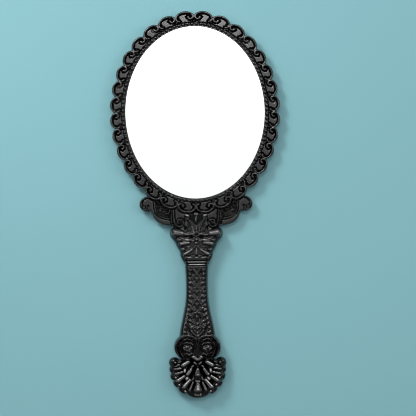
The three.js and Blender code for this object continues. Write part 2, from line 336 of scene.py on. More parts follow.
class Sheet:
    """A grid over the right half of the mirror, with tools that carve it."""

    def __init__(self, step):
        self.step = step
        self.xs = np.arange(0, 57, step)
        self.vs = np.arange(-1, 250.2, step)
        self.X, self.V = np.meshgrid(self.xs, self.vs)
        self.head = outline_distance(self.X, self.V, scallop_outline())
        self.neck = outline_distance(self.X, self.V, neck_outline())
        self.parts = [outline_distance(self.X, self.V, o) for o in handle_outlines()]
        self.handle = np.minimum.reduce(self.parts)
        self.wing = outline_distance(self.X, self.V, wing_outline())
        self.outer = np.minimum.reduce([self.head, self.neck, self.handle])
        self.along, self.out = oval_coordinates(self.X, self.V)

    def window(self, low, high):
        """The rows and columns of the grid between two corners."""
        rows = slice(*np.searchsorted(self.vs, [low[1], high[1]]))
        cols = slice(*np.searchsorted(self.xs, [low[0], high[0]]))
        return rows, cols

    def lines(self, strokes, reach=2.2):
        """Signed distance to a set of strokes (points, half width), negative on them."""
        result = np.full(self.X.shape, reach)
        for points, half in strokes:
            line = smooth_line(points)
            rows, cols = self.window(line.min(0) - half - reach, line.max(0) + half + reach)
            distance = line_distance(self.X[rows, cols], self.V[rows, cols], line) - half
            result[rows, cols] = np.minimum(result[rows, cols], distance)
        return result

    def full(self, half):
        """The whole grid from its right half."""
        return np.hstack([half[:, :0:-1], half])


def carve(base, lines, rise, groove, width=0.9, shoulder=0.45):
    """Ridges with a low crown along the lines, and a groove along each side."""
    ridge = (1 - 0.22 * np.clip(lines / shoulder + 1, 0, 1) ** 2) * (1 - ramp(lines, -0.14, 0.1))
    dip = ramp(lines, -0.05, 0.3) * (1 - ramp(lines, width - 0.35, width + 0.15))
    return base + rise * ridge - groove * dip


def crown(t, top, width, base, bow=0.27):
    """The height at t, 0 in the middle and 1 at the foot: a low crown, then a steep side to base."""
    side = ramp(t, 0.74, 1.0)
    return (top - bow * width * t * t) * (1 - side) + base * side


def dome(sheet, z, x, v, rx, rv, base, top):
    """Raises z to an oval swelling whose foot is at base."""
    reach = max(rx, rv)
    rows, cols = sheet.window((x - reach, v - reach), (x + reach, v + reach))
    away = ((sheet.X[rows, cols] - x) / rx) ** 2 + ((sheet.V[rows, cols] - v) / rv) ** 2
    height = crown(np.sqrt(away), top, min(rx, rv), base)
    z[rows, cols] = np.where(away < 1, np.maximum(z[rows, cols], height), z[rows, cols])


def rib(sheet, z, start, stop, widths, tops, base, lean=0.0, bow=0.27):
    """Raises z to a rounded rib along a straight line, its half width and height changing along it.

    Its top falls towards the head by lean for each millimetre.
    """
    (x0, v0), (x1, v1) = start, stop
    reach = max(widths)
    low = (min(x0, x1) - reach, min(v0, v1) - reach)
    high = (max(x0, x1) + reach, max(v0, v1) + reach)
    rows, cols = sheet.window(low, high)
    X, V = sheet.X[rows, cols], sheet.V[rows, cols]
    dx, dv = x1 - x0, v1 - v0
    t = np.clip(((X - x0) * dx + (V - v0) * dv) / (dx * dx + dv * dv), 0, 1)
    width = widths[0] + t * (widths[1] - widths[0])
    away = np.hypot(X - x0 - t * dx, V - v0 - t * dv) / width
    top = tops[0] + t * (tops[1] - tops[0]) - lean * (V - (v0 + v1) / 2)
    height = crown(away, top, width, base, bow)
    z[rows, cols] = np.where(away < 1, np.maximum(z[rows, cols], height), z[rows, cols])


def all_ribs(sheet, z, ribs, base, lean=0.0, bow=0.27):
    for start, stop, widths, tops in ribs:
        rib(sheet, z, start, stop, widths, tops, base, lean, bow)


# ---------------- the head

# In a scallop the first number of a point runs from -5 at one notch to 5 at the next, and the
# second is the distance from the window's edge.
HALF_SCALLOP = 5
SCALLOP_SCROLL = smooth_line(
    [(-1.75, 6.1), (-1.95, 5.2), (-2.7, 4.6), (-3.55, 4.65), (-4.2, 5.3), (-4.4, 6.3), (-4.0, 7.4)]
    + [(-3.1, 8.3), (-1.6, 8.85), (0, 9.05), (1.7, 8.85), (3.3, 8.15), (4.35, 7.0), (4.75, 5.6)]
    + [(4.35, 4.35), (3.3, 3.7)]
)
SCALLOP_HOLLOWS = ((-3.05, 5.85, 0.75), (-0.75, 6.05, 0.7), (3.45, 5.9, 0.7), (3.2, 5.2, 0.6))


def scallop_relief(a, r):
    """A C-scroll and its curled end, with pearls at the notches, round a flat field."""
    lines = np.full(a.shape, FAR)
    for shift in (-2 * HALF_SCALLOP, 0, 2 * HALF_SCALLOP):
        scroll = line_distance(a - shift, r, SCALLOP_SCROLL) - 0.6
        pearl = np.hypot(a - shift - HALF_SCALLOP, r - 3.2) - 0.55
        knob = np.hypot(a - shift + 1.95, r - 5.9) - 0.75
        lines = np.minimum.reduce([lines, scroll, pearl, knob])
    level = carve(np.full(a.shape, FIELD), lines, 0.75, 1.5, 0.62, 0.6)
    for x, v, radius in SCALLOP_HOLLOWS:
        level -= 0.9 * (1 - ramp(np.hypot(a - x, r - v), 0.25, radius))
    return level


def bead_relief(level, along, r):
    """Sinks a trough beside the window into the level, with a row of beads in it, and a lip."""
    trough = 1 - ramp(r, 2.35, 2.85)
    level = level * (1 - trough) + TROUGH * trough
    beads = round(PERIMETER / BEAD_PITCH)
    place = (np.mod(along / PERIMETER * beads, 1) - 0.5) * PERIMETER / beads
    away = (place / 1.15) ** 2 + ((r - BEAD_ROW) / 0.98) ** 2
    bead = crown(np.sqrt(away), 9.0, 1.0, 7.4)
    level = np.where(away < 1, np.maximum(level, bead), level)
    lip = WINDOW_EDGE + 0.7 * ramp(r, 0.0, 0.4)
    return np.where(r < 0.45, np.minimum(level, lip), level)


def rim_relief(sheet, low_edge):
    """The head: the scallops, and the bead row inside them."""
    k = sheet.along / PERIMETER * SCALLOPS
    for _ in range(8):
        k = (sheet.along - SCALLOP_DRIFT * np.sin(4 * np.pi * k / SCALLOPS)) / PERIMETER * SCALLOPS
    share = np.mod(k, 1) * 2 - 1
    near = (sheet.out > -1) & (sheet.out < 12) & (sheet.head < 1.5)
    r = sheet.out[near]
    level = bead_relief(scallop_relief(share[near] * HALF_SCALLOP, r), sheet.along[near], r)

    z = np.full(sheet.X.shape, FIELD)
    z[near] = level
    return low_edge + (z - low_edge) * ramp(-sheet.head, -0.1, 0.75)


# ---------------- the neck

# Each stroke is its points and its half width.
NECK_STROKES = [
    # the ear's ridge, from its curl to the middle of the skirt
    (
        [(33.0, 122.6), (34.4, 123.1), (35.1, 124.8), (34.7, 126.8), (33.0, 128.4), (30.8, 129.2)]
        + [(28.6, 128.9), (27.1, 127.6), (26.6, 125.4), (26.4, 122.2), (25.6, 119.4), (23.7, 117.2)]
        + [(20.9, 115.9), (18.0, 115.3), (15.9, 115.2)],
        0.42,
    ),
    # two thinner ridges beside it
    (
        [(25.2, 129.4), (25.5, 126.0), (25.25, 122.4), (24.4, 119.9), (22.6, 118.2), (20.0, 117.0)]
        + [(16.4, 116.4)],
        0.3,
    ),
    ([(23.9, 123.4), (23.5, 121.2), (22.4, 119.5), (20.2, 118.1), (18.0, 117.5), (16.4, 117.8)], 0.28),
    # the pair of crossing bands, and a small curl beside them
    (
        [(24.6, 128.2), (24.5, 126.4), (23.4, 125.0), (21.6, 124.3), (19.4, 123.8), (17.4, 122.8)]
        + [(16.0, 121.2)],
        0.42,
    ),
    (
        [(13.2, 125.4), (15.2, 124.3), (17.4, 123.2), (19.4, 122.4), (20.5, 121.1), (20.3, 119.4)]
        + [(18.9, 118.5), (17.3, 119.1), (16.9, 120.6), (17.9, 121.5), (18.9, 120.9)],
        0.38,
    ),
    ([(20.9, 123.1), (22.3, 123.2), (22.9, 122.1), (22.6, 120.7), (21.7, 120.0)], 0.3),
    # the scroll beside the plume, and the line outside it
    (
        [(14.0, 123.8), (14.35, 121.0), (14.3, 118.0), (14.2, 115.0), (13.7, 112.4), (12.3, 110.6)]
        + [(10.4, 110.1), (8.7, 111.0), (8.1, 112.7), (8.9, 114.3), (10.5, 114.7), (11.8, 113.9)]
        + [(11.7, 112.6), (10.7, 112.2)],
        0.46,
    ),
    ([(15.75, 120.6), (15.8, 118.0), (15.75, 115.0), (15.7, 112.4)], 0.3),
]


def neck_relief(sheet):
    """The plate under the head: its strokes, its grooves and the plume's bed."""
    z = np.full(sheet.X.shape, NECK_FIELD)
    z = carve(z, sheet.lines(NECK_STROKES), 0.6, 1.35, 0.6, 0.42)
    dome(sheet, z, 33.2, 122.6, 0.95, 0.95, 7.6, 9.4)
    # the slot under the ear's curl
    slot = sheet.lines([([(30.6, 123.4), (30.7, 121.6), (31.2, 119.6)], 0.35)])
    z -= 1.6 * (1 - ramp(slot, -0.1, 0.5))
    # the groove along the arches, and the one along the knot
    z -= 1.2 * (1 - ramp(sheet.head, 0.05, 0.75))
    z -= 0.9 * (1 - ramp(sheet.wing, 0.0, 0.8))
    # the plume's bed, a hollow under the middle arches
    bed = sheet.lines([([(0, 115.4), (0, 112.6), (0, 106)], 7.6)], 3.0)
    z -= (1.0 + 0.14 * (119 - sheet.V) + 0.12 * sheet.X) * (1 - ramp(bed, -0.8, 0.0))
    side = ramp(-sheet.neck, -0.1, 0.75)
    return NECK_EDGE + (z - NECK_EDGE) * np.where(sheet.neck < sheet.head, side, 1)


# Each rib is its start, its stop, its half width at each, and its top at each.
PLUME_RIBS = [
    ((3.1, 110.4), (5.3, 115.0), (0.6, 0.75), (9.2, 9.7)),
    ((0, 113.6), (0, 116.2), (1.0, 0.85), (9.9, 9.9)),
    ((4.3, 107.0), (5.7, 109.4), (0.65, 0.7), (9.6, 9.6)),
    ((5.9, 110.3), (6.7, 111.4), (1.2, 1.1), (10.4, 10.4)),
    ((6.3, 106.6), (7.6, 107.6), (0.6, 0.65), (9.6, 9.6)),
    ((8.2, 108.0), (9.4, 108.8), (0.95, 0.9), (10.4, 10.3)),
    ((1.7, 107.0), (2.4, 110.0), (0.75, 0.7), (9.6, 9.4)),
    ((0, 107.8), (0, 110.2), (0.7, 0.6), (9.6, 9.4)),
]
PLUME_BUDS = [
    ((0, 118.2), (0.7, 118.2), (1.15, 1.15), (10.5, 10.4)),
    ((5.2, 117.3), (6.4, 117.5), (1.1, 1.1), (10.4, 10.4)),
]


def plume(sheet, z):
    """The stalks that spread over the knot, and the buds on them."""
    all_ribs(sheet, z, PLUME_RIBS, 6.4)
    all_ribs(sheet, z, PLUME_BUDS, TROUGH, 0.16, 0.12)
    dome(sheet, z, 0.2, 112.6, 0.8, 0.65, TROUGH, 9.6)


# ---------------- the handle


def sloped(distance, top, width, edge):
    """A flat top that falls more and more steeply to its edge."""
    t = np.clip(-distance / width, 0, 1)
    return edge + (top - edge) * (1 - (1 - t) ** 1.7)


def handle_body(sheet):
    """The smooth body of the handle, before its carving."""
    grip, fan = sheet.parts[1:3]
    scroll = np.minimum(sheet.parts[3], sheet.parts[5])
    ear = np.minimum(sheet.parts[4], sheet.parts[6])
    z = sloped(grip, GRIP_TOP, 2.6, 10.4)
    z = np.where(sheet.V > GRIP_ENDS[1], 0, z)
    z = np.maximum(z, sloped(sheet.wing, 11.2, 4.5, 8.0))
    z = np.maximum(z, sloped(fan, 10.2, 2.4, 8.6))
    # the grip sinks between the scrolls, which are lower than it is
    beside = np.where(sheet.V < 36.8, 9.0, z) * (scroll > 0)
    z = np.where(sheet.V < 38, np.maximum(beside, sloped(scroll, 11.4, 3.4, 8.2)), z)
    return np.maximum(z, sloped(ear, 10.0, 2.2, 8.0))


KNOT_RIBS = [
    # the wing, with two small leaves under it
    ((5.0, 105.2), (9.3, 105.9), (1.3, 2.2), (12.8, 13.8)),
    ((9.3, 105.9), (13.2, 106.4), (2.2, 3.0), (13.8, 13.5)),
    ((5.4, 103.0), (7.2, 103.0), (0.8, 0.7), (12.3, 12.0)),
    ((10.4, 101.8), (11.5, 102.1), (0.95, 0.95), (12.9, 12.5)),
    # two more leaves, with a small one under each
    ((4.9, 99.9), (9.7, 99.3), (1.3, 1.8), (13.1, 13.5)),
    ((8.1, 95.7), (9.2, 96.1), (0.95, 0.95), (12.7, 12.4)),
    ((3.9, 94.7), (7.3, 92.9), (1.1, 1.5), (13.0, 13.3)),
    ((6.0, 90.6), (7.1, 90.2), (0.9, 0.9), (12.4, 12.2)),
    # the ribbons and the stem under the bead
    ((0.6, 97.9), (1.9, 96.4), (0.75, 0.75), (13.1, 12.9)),
    ((1.9, 96.4), (3.9, 94.7), (0.75, 1.0), (12.9, 12.9)),
    ((0, 92.9), (0, 95.8), (0.9, 0.8), (13.0, 13.0)),
    # three buds
    ((2.3, 101.2), (3.4, 101.8), (1.2, 1.15), (13.5, 13.3)),
    ((1.7, 91.4), (2.9, 91.7), (1.05, 0.95), (12.8, 12.6)),
    ((4.6, 97.3), (5.6, 97.2), (0.75, 0.7), (12.2, 12.0)),
    # the wavy edge over the rosette
    ((0, 106.9), (1.3, 106.0), (0.8, 0.8), (13.2, 13.0)),
    ((1.3, 106.0), (3.4, 105.4), (0.8, 1.0), (13.0, 12.9)),
]
ROSETTE_V = 103.6
ROSETTE_PETALS = (90, 30, -30, -90)  # degrees


def knot_carving(sheet, z):
    """A rosette and a bead between three pairs of leaves, over the knot's body."""
    all_ribs(sheet, z, KNOT_RIBS, 9.8, 0.12, 0.15)
    for degrees in ROSETTE_PETALS:
        angle = math.radians(degrees)
        inner = (1.15 * math.cos(angle), ROSETTE_V + 1.15 * math.sin(angle))
        outer = (2.1 * math.cos(angle), ROSETTE_V + 2.1 * math.sin(angle))
        rib(sheet, z, inner, outer, (0.6, 0.75), (12.9, 13.1), 9)
    dome(sheet, z, 0, ROSETTE_V, 0.8, 0.8, 10, 13.5)
    dome(sheet, z, 0, 99.5, 1.6, 1.35, 10.2, 13.8)


# Each ring is its place, its half width, and how far it stands over the grip's body.
COLLAR_RINGS = ((89.6, 0.45, -0.3), (87.7, 0.85, 1.0), (85.9, 0.6, 0.6), (84.5, 0.45, 0.2))


def collar(sheet, z):
    """Rings where the knot becomes the grip."""
    grip = sheet.parts[1]
    body = sloped(grip, 12.2, 2.6, 10.2)
    foot = body - 0.7
    z[:] = np.where((sheet.V > 83.8) & (sheet.V < 88.8) & (grip < 0), foot, z)
    for v, half, top in COLLAR_RINGS:
        beside = np.abs(sheet.V - v)
        near = (beside < half + 0.3) & (grip < 0)
        leaning = body + top - 0.14 * (sheet.V - v)
        z[near] = np.maximum(z, crown(beside / half, leaning, half, foot, 0.12))[near]


def panel_half_width(v):
    return 5.3 + 3.5 * ramp(v, 62, 38)


def grip_strokes():
    """A bead row along each side, an interlaced chain between them, and a heart at its foot."""
    strokes = [
        ([(0, 39.9), (2.2, 41.6), (3.9, 43.5), (4.6, 45.6), (4.2, 47.4)], 0.52),
        ([(0, 42.0), (1.5, 43.2), (2.4, 44.6), (1.8, 45.9), (0.7, 45.6), (0, 44.6)], 0.45),
        ([(5.2, 40.6), (6.5, 43.0), (6.9, 46.4), (6.4, 50.0), (5.7, 53.0)], 0.5),
    ]
    share = np.linspace(0, 1, 7)
    for low in CHAIN:
        wide = 2.4 + 0.8 * float(ramp(low, 60, 46))
        side = wide * np.sin(math.pi * share) + 0.02
        strokes.append((np.stack([side, low + CHAIN_LINK * share], -1), 0.52))
        strokes.append(([(0, low + 3.3), (0, low + 4.8)], 0.8))
        if low < 80:
            strokes.append(([(1.6, low + 0.4), (wide + 1.3, low + 2.5)], 0.6))
            strokes.append(([(1.6, low - 0.4), (wide + 1.3, low - 2.5)], 0.6))
    for v in np.arange(42.4, 83, 2.85):
        place = float(panel_half_width(v)) - 0.7
        strokes.append(([(place - 0.1, v - 0.3), (place + 0.1, v + 0.3)], 0.78))
    return strokes


def grip_carving(sheet, z):
    """The panel down the grip: it is sunk, and its strokes rise out of it with sloping sides."""
    X, V = sheet.X, sheet.V
    low, high = PANEL_ENDS
    across = 1 - ramp(X - panel_half_width(V), -0.3, 0.3)
    panel = across * ramp(V, low - 0.3, low + 0.3) * (1 - ramp(V, high - 0.2, high + 0.3))
    z -= PANEL_DEPTH * panel
    lines = sheet.lines(grip_strokes())
    round_top = 0.2 * np.clip(lines / 0.5 + 1, 0, 1) ** 2
    z += panel * (1.9 - round_top - 0.95 * np.clip(lines, 0, 1.6))


SCROLL_BANDS = [
    (
        [(0.9, 38.0), (3.2, 39.9), (6.6, 40.4), (10.2, 39.8), (12.5, 37.4), (13.7, 34.4)]
        + [(13.7, 31.2), (12.5, 28.2), (10.6, 26.2)],
        0.95,
    ),
    (
        [(2.6, 36.6), (4.6, 38.2), (7.2, 38.6), (9.4, 37.1), (10.9, 35.0), (11.3, 32.4)]
        + [(10.6, 29.6), (9.0, 27.2)],
        0.55,
    ),
]
SCROLL_RIBS = [
    # the boss
    ((5.6, 32.0), (7.0, 32.6), (3.2, 3.1), (13.0, 13.2)),
    # the two lips under it, and a short one over it
    ((3.6, 29.3), (5.4, 28.5), (0.6, 0.7), (12.4, 12.6)),
    ((5.4, 28.5), (7.2, 29.2), (0.7, 0.55), (12.6, 12.3)),
    ((3.0, 34.6), (4.4, 36.2), (0.7, 0.6), (12.2, 12.0)),
]


def scroll_carving(sheet, z):
    """The two rolled scrolls under the grip, each with two bands round a boss."""
    X, V = sheet.X, sheet.V
    disc = np.hypot(X - SCROLL[0], V - SCROLL[1]) < SCROLL[2] + 0.9
    bowl = 1 - ramp(np.hypot((X - 6.4) / 5.4, (V - 32.6) / 5.2), 0.75, 1.0)
    z -= 1.9 * bowl * disc
    lines = sheet.lines(SCROLL_BANDS)
    raised = 12.9 - 1.7 * ramp(lines, -0.4, 0.25)
    z[:] = np.where(lines < 0.25, np.maximum(z, raised), z)
    dip = ramp(lines, -0.05, 0.25) * (1 - ramp(lines, 0.45, 0.8))
    z -= dip * (V < 41) * (X > 1.0)
    all_ribs(sheet, z, SCROLL_RIBS, 9.7)
    # a curl cut into the boss
    curl = np.abs(np.hypot(X - 6.6, V - 33.4) - 1.7)
    z -= 0.8 * (1 - ramp(curl, 0.1, 0.55)) * ramp(V, 31.9, 33.2)
    # the gap between the two scrolls, which is wider and deeper towards its foot
    foot, top = GRIP_ENDS[0], 38.6
    gap = 0.35 + 0.09 * (top - V)
    between = (X < gap) & (V > foot) & (V < top)
    z[:] = np.where(between, np.minimum(z, 7.0 + 0.36 * (V - foot)), z)


FAN_RIBS = [
    # the heart between the scrolls and the fan
    ((0.5, 25.3), (2.5, 26.9), (1.2, 1.6), (12.9, 12.9)),
    ((0.9, 22.4), (2.1, 23.4), (0.85, 0.85), (11.8, 11.8)),
    # the middle boss, the petal under its bead, and the ribs beside them
    ((0, 19.0), (0, 15.9), (1.4, 2.4), (12.9, 13.6)),
    ((0, 9.0), (0, 6.2), (1.9, 3.5), (12.4, 12.9)),
    ((3.0, 11.0), (5.2, 6.0), (0.7, 1.1), (12.0, 12.4)),
    ((2.6, 14.2), (3.4, 12.4), (0.7, 0.7), (12.2, 12.2)),
    # the ribs, from the bottom up
    ((5.0, 12.3), (8.8, 7.9), (1.2, 1.9), (12.5, 13.1)),
    ((8.6, 14.7), (12.6, 12.0), (1.2, 1.8), (12.5, 12.9)),
    ((10.0, 17.3), (14.0, 16.4), (1.0, 1.3), (12.5, 12.6)),
    ((10.8, 19.7), (14.6, 19.4), (0.9, 1.1), (12.4, 12.4)),
    ((11.8, 22.0), (14.6, 21.4), (0.75, 0.75), (11.9, 11.9)),
    # the leaves inside them
    ((4.2, 19.2), (6.6, 16.1), (1.2, 1.5), (12.8, 13.5)),
    ((6.0, 23.8), (9.2, 21.8), (1.6, 1.9), (12.9, 13.2)),
    ((2.7, 21.4), (3.7, 20.7), (0.8, 0.8), (12.0, 12.0)),
    ((11.0, 24.2), (12.1, 23.6), (0.9, 0.9), (11.6, 11.6)),
]
FAN_BEADS = [
    # under the middle boss and under the petal
    ((0, 11.7), (0.9, 11.7), (1.2, 1.15), (13.4, 13.3)),
    ((0, 3.1), (1.6, 3.1), (1.25, 1.15), (12.0, 11.8)),
    # at the inner ends of the ribs
    ((8.2, 19.3), (8.4, 18.1), (1.25, 1.25), (13.4, 13.4)),
    ((6.6, 13.9), (7.2, 13.3), (1.25, 1.2), (13.5, 13.5)),
    # on the lobes
    ((8.0, 5.1), (8.4, 5.4), (1.05, 1.05), (11.6, 11.6)),
    ((11.7, 9.3), (12.1, 9.6), (1.0, 1.0), (11.5, 11.5)),
    ((14.0, 13.9), (14.2, 14.2), (0.95, 0.95), (11.4, 11.4)),
    ((14.0, 23.7), (14.4, 23.8), (1.0, 1.0), (12.2, 12.2)),
]


def fan_carving(sheet, z):
    """The shell at the end: a middle boss, a petal, and ribs that spread from under the scrolls."""
    all_ribs(sheet, z, FAN_RIBS, 9.4, 0.13, 0.15)
    all_ribs(sheet, z, FAN_BEADS, 9.0, 0.26, 0.12)
    dome(sheet, z, 15.1, 17.4, 0.8, 0.8, 8.9, 11.0)
    dome(sheet, z, 0, 20.9, 0.8, 0.8, 8.9, 12.2)
    ring = np.abs(np.hypot(sheet.X - 14.6, sheet.V - 23.4) - 1.55)
    z -= 0.9 * (1 - ramp(ring, 0.2, 0.6))


# ---------------- the whole front


def front_heights(sheet):
    """The head over the neck's plate, the handle over both, and a rounded edge along the outline."""
    low_edge = LOBE_EDGE - 0.9 * ramp(-sheet.neck, 0.0, 1.0)
    head = rim_relief(sheet, low_edge)
    plate = neck_relief(sheet)
    plume(sheet, plate)
    z = np.where(sheet.head < 0, head, plate)
    body = handle_body(sheet)
    knot_carving(sheet, body)
    grip_carving(sheet, body)
    collar(sheet, body)
    scroll_carving(sheet, body)
    fan_carving(sheet, body)
    solid = np.minimum.reduce([sheet.wing, *sheet.parts[1:]])
    z = np.where(solid < 0, body, z)
    round_width = np.where(sheet.V < 108, 1.1, 0.7)
    inwards = np.clip(-sheet.outer / round_width, 0, 1)
    z = RIM_EDGE + (z - RIM_EDGE) * np.sqrt(1 - (1 - inwards) ** 2)
    return np.clip(z, RIM_EDGE + 0.1, FRONT_HIGH[2])


# ---------------- meshes from heights


class Surface:
    """Vertices and triangles, gathered piece by piece."""

    def __init__(self):
        self.vertices = []
        self.faces = []
        self.count = 0

    def add_vertices(self, points):
        points = np.asarray(points, float).reshape(-1, 3)
        first = self.count
        self.vertices.append(points)
        self.count += len(points)
        return np.arange(first, self.count)

    def add_faces(self, faces):
        self.faces.append(np.asarray(faces, int).reshape(-1, 3))

    def wall(self, upper, lower):
        """A band from one closed ring of vertices down to another. It faces right of the way they run."""
        a, b = np.array(upper), np.array(lower)
        a2, b2 = np.roll(a, -1), np.roll(b, -1)
        self.add_faces(np.stack([a, b, b2], -1))
        self.add_faces(np.stack([a, b2, a2], -1))

    def cap(self, rings, up):
        """A flat face between rings, the first round the outside."""
        points = [self.at(i) for ring in rings for i in ring]
        numbers = [i for ring in rings for i in ring]
        edges, first = [], 0
        for ring in rings:
            count = len(ring)
            edges += [(first + i, first + (i + 1) % count) for i in range(count)]
            first += count
        flat = [Vector((p[0], p[1])) for p in points]
        made = geometry.delaunay_2d_cdt(flat, edges, [], 1, 1e-7)
        faces = np.array([[made[3][i][0] for i in face] for face in made[2]])
        middle = np.array(points)[faces, :2].mean(1)
        first = len(rings[0])
        for ring in rings[1:]:
            hole = np.array(points)[first : first + len(ring), :2]
            outside = ~inside_outline(middle[:, 0], middle[:, 1], hole)
            faces, middle = faces[outside], middle[outside]
            first += len(ring)
        faces = np.array(numbers)[faces]
        self.add_faces(faces if up else faces[:, ::-1])

    def at(self, number):
        """The place of a vertex."""
        for block in self.vertices:
            if number < len(block):
                return block[number]
            number -= len(block)

    def gather(self):
        """Joins the blocks of vertices into one."""
        self.vertices = [np.vstack(self.vertices)]

    def build(self, name):
        self.gather()
        points = self.vertices[0].copy()
        points[:, 1] += END_Y
        points *= MM
        faces = np.vstack(self.faces)
        mesh = bpy.data.meshes.new(name)
        mesh.vertices.add(len(points))
        mesh.vertices.foreach_set("co", points.ravel())
        mesh.loops.add(faces.size)
        mesh.loops.foreach_set("vertex_index", faces.ravel())
        mesh.polygons.add(len(faces))
        mesh.polygons.foreach_set("loop_start", np.arange(0, faces.size, 3))
        mesh.polygons.foreach_set("use_smooth", np.ones(len(faces), bool))
        mesh.update(calc_edges=True)
        mesh.validate()
        mesh.set_sharp_from_angle(angle=math.radians(62))
        made = bpy.data.objects.new(name, mesh)
        bpy.context.collection.objects.link(made)
        return made


def height_map(surface, sheet, heights, distance, edge_height, up=True):
    """Adds the sheet's surface where distance is negative. Returns the rings of its edge."""
    z, d = sheet.full(heights), sheet.full(distance)
    d = np.where(np.abs(d) < 1e-4 * sheet.step, -1e-4 * sheet.step, d)
    xs = np.concatenate([-sheet.xs[:0:-1], sheet.xs])
    vs = sheet.vs
    inside = d < 0
    number = np.full(d.shape, -1)
    rows, cols = np.nonzero(inside)
    number[rows, cols] = surface.add_vertices(np.stack([xs[cols], vs[rows], z[rows, cols]], -1))

    corners = (inside[:-1, :-1], inside[:-1, 1:], inside[1:, 1:], inside[1:, :-1])
    how_many = sum(c.astype(int) for c in corners)
    r, c = np.nonzero(how_many == 4)
    a, b, e, f = number[r, c], number[r, c + 1], number[r + 1, c + 1], number[r + 1, c]
    falls = np.abs(z[r, c] - z[r + 1, c + 1]) < np.abs(z[r, c + 1] - z[r + 1, c])
    one = np.where(falls[:, None], np.stack([a, b, e], -1), np.stack([a, b, f], -1))
    two = np.where(falls[:, None], np.stack([a, e, f], -1), np.stack([b, e, f], -1))
    faces = [np.vstack([one, two])]

    crossings, made, follow, extra = {}, [], {}, []

    def crossing(p, q):
        key = (p, q) if p < q else (q, p)
        if key not in crossings:
            t = d[p] / (d[p] - d[q])
            x = xs[p[1]] + t * (xs[q[1]] - xs[p[1]])
            v = vs[p[0]] + t * (vs[q[0]] - vs[p[0]])
            crossings[key] = surface.count + len(made)
            made.append((x, v, edge_height(x, v)))
        return crossings[key]

    for r, c in zip(*np.nonzero((how_many > 0) & (how_many < 4))):
        r, c = int(r), int(c)
        ring = [(r, c), (r, c + 1), (r + 1, c + 1), (r + 1, c)]
        polygon, cuts = [], []
        for p, q in zip(ring, ring[1:] + ring[:1]):
            if inside[p]:
                polygon.append(number[p])
            if inside[p] != inside[q]:
                cut = crossing(p, q)
                polygon.append(cut)
                cuts.append((cut, bool(inside[p])))
        extra += [(polygon[0], polygon[i], polygon[i + 1]) for i in range(1, len(polygon) - 1)]
        for i, (cut, leaving) in enumerate(cuts):
            if leaving:
                follow[cut] = cuts[(i + 1) % len(cuts)][0]
    surface.add_vertices(made)
    faces.append(np.array(extra))
    faces = np.vstack(faces)
    surface.add_faces(faces if up else faces[:, ::-1])

    rings = []
    while follow:
        start = next(iter(follow))
        ring, at = [], start
        while at in follow:
            ring.append(at)
            at = follow.pop(at)
        rings.append(ring)
    return sorted(rings, key=len, reverse=True)


def drop(surface, ring, z):
    """A copy of a ring of vertices at another height."""
    surface.gather()
    points = surface.vertices[0][ring].copy()
    points[:, 2] = z
    return list(surface.add_vertices(points))


def ring_at(surface, outline, z):
    return list(surface.add_vertices(np.column_stack([outline, np.full(len(outline), z)])))


def pocket(surface, outline, mouth, end, up, posts=()):
    """The wall and end of a blind hole, and the posts on its end. Returns the ring of its mouth."""
    outer = ring_at(surface, outline[::-1], mouth)
    inner = ring_at(surface, outline[::-1], end)
    surface.wall(*((outer, inner) if up else (inner, outer)))
    feet = [raised(surface, *post, up) for post in posts]
    surface.gather()
    surface.cap([inner, *feet], up)
    return outer


def raised(surface, outline, foot, end, inner, up):
    """The wall and end of a post, with the rings of what is cut into or stands on its end.

    Returns the ring of its foot.
    """
    low = ring_at(surface, outline, foot)
    top = ring_at(surface, outline, end)
    surface.wall(*((top, low) if up else (low, top)))
    surface.gather()
    surface.cap([top, *inner], up)
    return low


def circle(x, v, radius):
    return arc(x, v, radius, 0, 360, 21)[:-1]


def rim_pins():
    """Where the pins of the head and the neck stand."""
    rim = [oval_point(PERIMETER * (k + 0.5) / SCALLOPS, 5.4) for k in RIM_PINS]
    return [*rim, *NECK_PINS]


def seat_outline():
    """The wall round the glass."""
    angle = np.linspace(0, 2 * np.pi, 181)[:-1]
    rx, ry = WINDOW_RX + SEAT, WINDOW_RY + SEAT
    return np.stack([rx * np.cos(angle), HEAD_V + ry * np.sin(angle)], -1)


def make_front_shell():
    """The carved front: its outer wall, the seat of the glass, the handle's hollow and the sockets."""
    sheet = Sheet(FRONT_STEP)
    surface = Surface()
    heights = front_heights(sheet)
    domain = np.maximum(sheet.outer, -sheet.out)

    def edge(x, v):
        oval = math.hypot(x / WINDOW_RX, (v - HEAD_V) / WINDOW_RY)
        return WINDOW_EDGE if oval < 1.05 else RIM_EDGE

    outer, window = height_map(surface, sheet, heights, domain, edge)[:2]
    foot = drop(surface, outer, PARTING_FRONT)
    surface.wall(outer, foot)
    ledge_inner = drop(surface, window, SEAT_TOP)
    surface.wall(window, ledge_inner)
    ledge_outer = ring_at(surface, seat_outline()[::-1], SEAT_TOP)
    seat_foot = ring_at(surface, seat_outline()[::-1], PARTING_FRONT)
    surface.wall(ledge_outer, seat_foot)
    surface.gather()
    surface.cap([ledge_outer, ledge_inner], False)
    bosses = []
    for x, v in GRIP_PINS:
        socket = pocket(surface, circle(x, v, SOCKET_R), PARTING_FRONT, SOCKET_END, False)
        bosses.append((circle(x, v, BOSS_R), FRONT_CEILING, PARTING_FRONT, [socket]))
    holes = [seat_foot, pocket(surface, hollow_outline(), PARTING_FRONT, FRONT_CEILING, False, bosses)]
    for x, v in rim_pins():
        holes.append(pocket(surface, circle(x, v, SOCKET_R), PARTING_FRONT, SOCKET_END, False))
    surface.gather()
    surface.cap([foot, *holes], False)
    return surface.build("front_shell_carved")


# ---------------- the back shell


